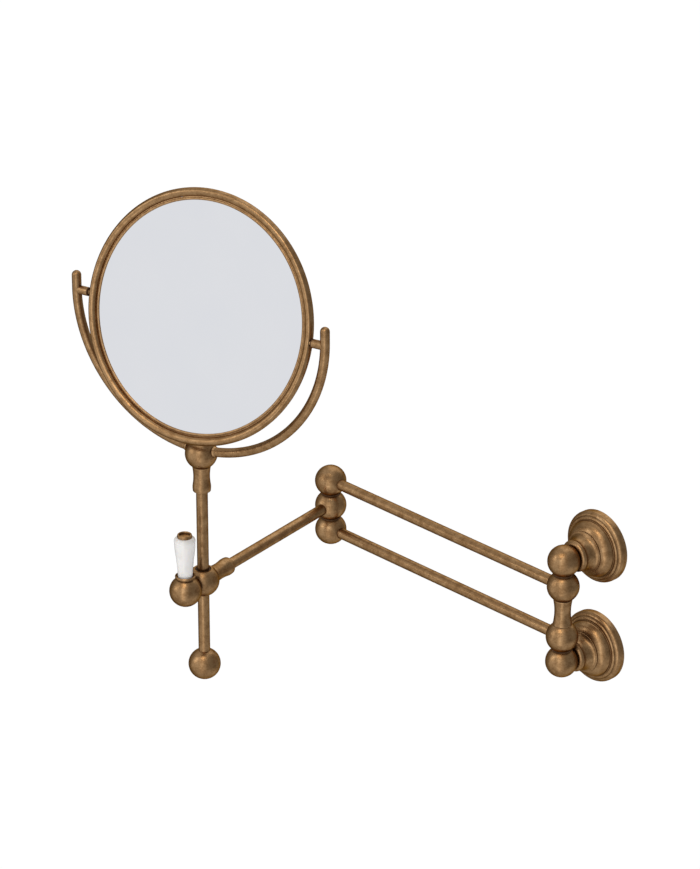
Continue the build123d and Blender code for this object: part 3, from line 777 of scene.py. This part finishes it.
def build_pole():
    rod = bar("look_pole", at(CLAMP), POLE_R, BAR_SEAT - FINIAL_DROP, YOKE_RISE - SHOULDER)
    dress(rod, "pole", "antique_brass", "pole")
    finial = ball("look_finial_ball", at(CLAMP) @ up(-FINIAL_DROP))
    dress(finial, "pole", "antique_brass", "finial_ball")
    yoke_centre = at(CLAMP) @ up(YOKE_RISE)
    sleeve = ferrule("look_pole_ferrule", yoke_centre @ turn(180, "X"), POLE_R)
    dress(sleeve, "pole", "antique_brass", "pole_ferrule")
    knob = ball("look_yoke_ball", yoke_centre, -SHOULDER, BALL_R)
    dress(knob, "pole", "antique_brass", "yoke_ball")
    dress(tube("look_yoke_fork", YOKE, fork_path(), FORK_R), "pole", "antique_brass", "yoke_fork")
    for side in (-1, 1):
        hand = "left" if side < 0 else "right"
        slope = math.asin(COLLAR_X / FORK_SWEEP_R)
        height = YOKE_RISE + FORK_LOW + FORK_SWEEP_R * (1 - math.cos(slope))
        lean = turn(side * (90 - math.degrees(slope)), "Y")
        place = YOKE @ at(Vector((side * COLLAR_X, 0, height)) * MM) @ lean
        collar = lathe(f"look_fork_collar_{hand}", place, outline(
            (FORK_R - 0.3, -1.2), (4.3, -1.2), ((4.25, -0.2), (FORK_R + 0.1, 0.8)), (FORK_R - 0.3, 1.2),
        ))
        dress(collar, "pole", "antique_brass", "fork_collars")
        outward = YOKE @ up(MIRROR_RISE) @ turn(90 * side, "Y")
        shoulder = RIM_R + WASHER_END
        pin = lathe(f"look_pivot_pin_{hand}", outward, outline(
            (0, JOURNAL_END), (JOURNAL_R, JOURNAL_END), (JOURNAL_R, shoulder), (PIVOT_R, shoulder),
            (PIVOT_R, FORK_HALF - 1), (0, FORK_HALF - 1),
        ), closed=False)
        dress(pin, "pole", "antique_brass", "pivot_pins")
        face = RIM_R + WASHER_GAP
        washer = ring(f"look_friction_washer_{hand}", outward, PIVOT_R, JOURNAL_R, face, shoulder)
        dress(washer, "pole", "black_nylon", "friction_washers")


# ---- mirror ----------------------------------------------------------------------------------
def bezel(name, place, plane, crest):
    """Beaded ring that holds a glass: its foot on the glass's plane, its bead up to the crest."""
    outer = RING_BORE_R - 0.05
    shoulder = crest - 0.45
    points = outline(
        (SIGHT_R, plane), (SIGHT_R, shoulder), ((88.6, crest), (89.6, shoulder)),
        (outer, shoulder - 0.1), (outer, plane),
    )
    return lathe(name, place, points, facets=RIM_FINE)


def build_mirror():
    band = lathe("look_mirror_ring", MIRROR_FRAME, outline(
        (RING_BORE_R, -4.7), ((92.0, -5.1), (93.4, -5.2)), ((94.7, -4.75), (95.5, -3.7)),
        ((96.45, -1.95), (RIM_R, 0)), ((96.45, 1.35), (95.7, 2.5)), ((95.0, 3.1), (94.0, 3.35)),
        ((91.7, 2.5), (RING_BORE_R, 0.9)),
    ), facets=RIM_FINE)
    for side in (-1, 1):
        hole = MIRROR_FRAME @ up(SET_BACK) @ turn(90 * side, "Y")
        cut(band, bar("hole", hole, TRUNNION_R, TRUNNION_END, RIM_R + 1))
    dress(band, "mirror", "antique_brass", "mirror_ring")
    front = bezel("look_front_bezel", MIRROR_FRAME, FRONT_PLANE, FRONT_CREST)
    dress(front, "mirror", "antique_brass", "front_bezel")
    rear = bezel("look_rear_bezel", MIRROR_FRAME @ turn(180, "Y"), REAR_PLANE, REAR_CREST)
    dress(rear, "mirror", "antique_brass", "rear_bezel")
    back = FRONT_PLANE - GLASS_T
    plain = lathe("look_plain_glass", MIRROR_FRAME, outline(
        (0, back), (GLASS_R, back), (GLASS_R, FRONT_PLANE), (0, FRONT_PLANE),
    ), closed=False, facets=RIM_FINE)
    dress(plain, "mirror", "mirror_glass", "plain_glass")
    hollow = CONCAVE_SAG - REAR_PLANE
    halfway = hollow - sagged(GLASS_R, CONCAVE_SAG)
    magnifier = lathe("look_magnifying_glass", MIRROR_FRAME, outline(
        (0, hollow), ((GLASS_R / 2, halfway), (GLASS_R, -REAR_PLANE)), (GLASS_R, CONCAVE_T - REAR_PLANE),
        ((GLASS_R / 2, halfway + CONCAVE_T), (0, hollow + CONCAVE_T)),
    ), closed=False, facets=RIM_FINE)
    dress(magnifier, "mirror", "mirror_glass", "magnifying_glass")


# ---- CAD nodes that keep their shape ---------------------------------------------------------
def dress_cad_nodes():
    """Gives every node still shown the material of its slot."""
    slots = {part["node"]: part["material_slot"] for part in frame["record"]["subparts"]}
    for name, cad in frame["nodes"].items():
        if not cad.hide_render:
            cad.material_slots[0].material = MATERIALS[slots[name]]


# ---- room: floor, light and camera -----------------------------------------------------------
FLOOR_DROP = 1.1         # floor below the lowest point of the object
FLOOR_HALF = 30.0
CAMERA_AZIMUTH = 46.3
CAMERA_ELEVATION = 25.1
CAMERA_DISTANCE = 3.3
CAMERA_LENS = 180.0
AIM = Vector((-0.16421, -0.10442, 0.1129))   # point that the camera and the lights face


def direction(azimuth, elevation):
    """Unit vector from the object to a place seen at an azimuth and an elevation."""
    a, e = math.radians(azimuth), math.radians(elevation)
    return Vector((math.sin(a) * math.cos(e), -math.cos(a) * math.cos(e), math.sin(e)))


def build_floor():
    n = material("studio_floor")
    place = n.node("ShaderNodeTexCoord").outputs["Object"]
    colour = n.mix(n.noise(place, 3.0, 4.0), (0.035, 0.035, 0.035), (0.045, 0.045, 0.045))
    n.finish(Base_Color=colour, Roughness=1.0, Emission_Color=(1, 1, 1, 1), Emission_Strength=0.99)
    n.finish(Specular_IOR_Level=0.0)
    z = cad_box[0].z - FLOOR_DROP
    corners = [(x * FLOOR_HALF, y * FLOOR_HALF, z) for x, y in ((-1, -1), (1, -1), (1, 1), (-1, 1))]
    mesh = bpy.data.meshes.new("studio_floor")
    mesh.from_pydata(corners, [], [(0, 1, 2, 3)])
    mesh.materials.append(n.owner)
    floor = bpy.data.objects.new("studio_floor", mesh)
    bpy.context.scene.collection.objects.link(floor)
    floor.visible_glossy = False


def build_light(name, azimuth, elevation, distance, size, power, tint):
    """Area light that faces the object, hidden from the camera."""
    light = bpy.data.lights.new(name, "AREA")
    light.shape = "RECTANGLE"
    light.size, light.size_y = size
    light.energy = power
    light.color = tint
    made = bpy.data.objects.new(name, light)
    bpy.context.scene.collection.objects.link(made)
    back = direction(azimuth, elevation)
    made.location = AIM + back * distance
    made.rotation_mode = "QUATERNION"
    made.rotation_quaternion = back.to_track_quat("Z", "Y")
    made.visible_camera = False


WARM = (1.0, 0.84, 0.62)
WHITE = (1.0, 1.0, 1.0)
SURROUND = 0.60          # level of the surround between its strips
STRIP_EDGE = 9           # softness of a strip's sides and ends, in degrees
STRIPS = (               # centre azimuth, half width, low and high elevation, added level
    (29, 9, -50, 56, 0.85),
    (20, 8, 24, 42, 0.9),
    (-13, 13, -24, 24, 0.19),
    (-42, 7, -30, 40, 0.2),
    (118, 48, -26, 60, -0.31),
    (202, 34, 26, 90, 0.55),
    (-85, 26, -70, 30, -0.32),
)


def build_world():
    """Studio surround, even but for the tall soft boxes and dark flags that stand round it."""
    world = bpy.data.worlds.new("studio")
    bpy.context.scene.world = world
    n = Nodes(world, "Background")
    gaze = n.node("ShaderNodeTexCoord").outputs["Generated"]
    toward = n.node("ShaderNodeSeparateXYZ", None, Vector=gaze)
    azimuth = n.math("ARCTAN2", toward.outputs["X"], n.math("MULTIPLY", toward.outputs["Y"], -1.0))
    azimuth = n.math("MULTIPLY", azimuth, math.degrees(1))
    elevation = n.math("MULTIPLY", n.math("ARCSINE", toward.outputs["Z"]), math.degrees(1))
    level = SURROUND
    for centre, half, low, high, strength in STRIPS:
        offset = n.node("ShaderNodeMath", {"operation": "WRAP"})
        n.put(offset.inputs[0], n.math("SUBTRACT", azimuth, centre))
        n.put(offset.inputs[1], 180.0)
        n.put(offset.inputs[2], -180.0)
        away = n.math("ABSOLUTE", offset.outputs[0])
        width = n.span(away, half + STRIP_EDGE, half - STRIP_EDGE / 2, smooth=True)
        foot = n.span(elevation, low - STRIP_EDGE, low + STRIP_EDGE, smooth=True)
        head = n.span(elevation, high + STRIP_EDGE, high - STRIP_EDGE, smooth=True)
        window = n.math("MULTIPLY", width, n.math("MULTIPLY", foot, head))
        level = n.math("ADD", level, n.math("MULTIPLY", window, strength))
    n.finish(Color=(0.965, 0.972, 1.0, 1), Strength=level)


def build_camera():
    camera = bpy.data.cameras.new("camera")
    camera.lens = CAMERA_LENS
    camera.sensor_width = 36.0
    camera.clip_end = 100.0
    made = bpy.data.objects.new("camera", camera)
    bpy.context.scene.collection.objects.link(made)
    back = direction(CAMERA_AZIMUTH, CAMERA_ELEVATION)
    made.location = AIM + back * CAMERA_DISTANCE
    made.rotation_mode = "QUATERNION"
    made.rotation_quaternion = back.to_track_quat("Z", "Y")
    bpy.context.scene.camera = made


build_wall_mount()
build_bars()
build_rod()
build_lever()
build_pole()
build_mirror()
dress_cad_nodes()
build_floor()
build_light("key", azimuth=22, elevation=58, distance=2.2, size=(0.8, 0.8), power=6, tint=WARM)
build_light("fill", azimuth=-30, elevation=25, distance=2.6, size=(0.8, 1.6), power=5, tint=WHITE)
build_world()
build_camera()
bpy.context.scene.view_settings.view_transform = "Standard"
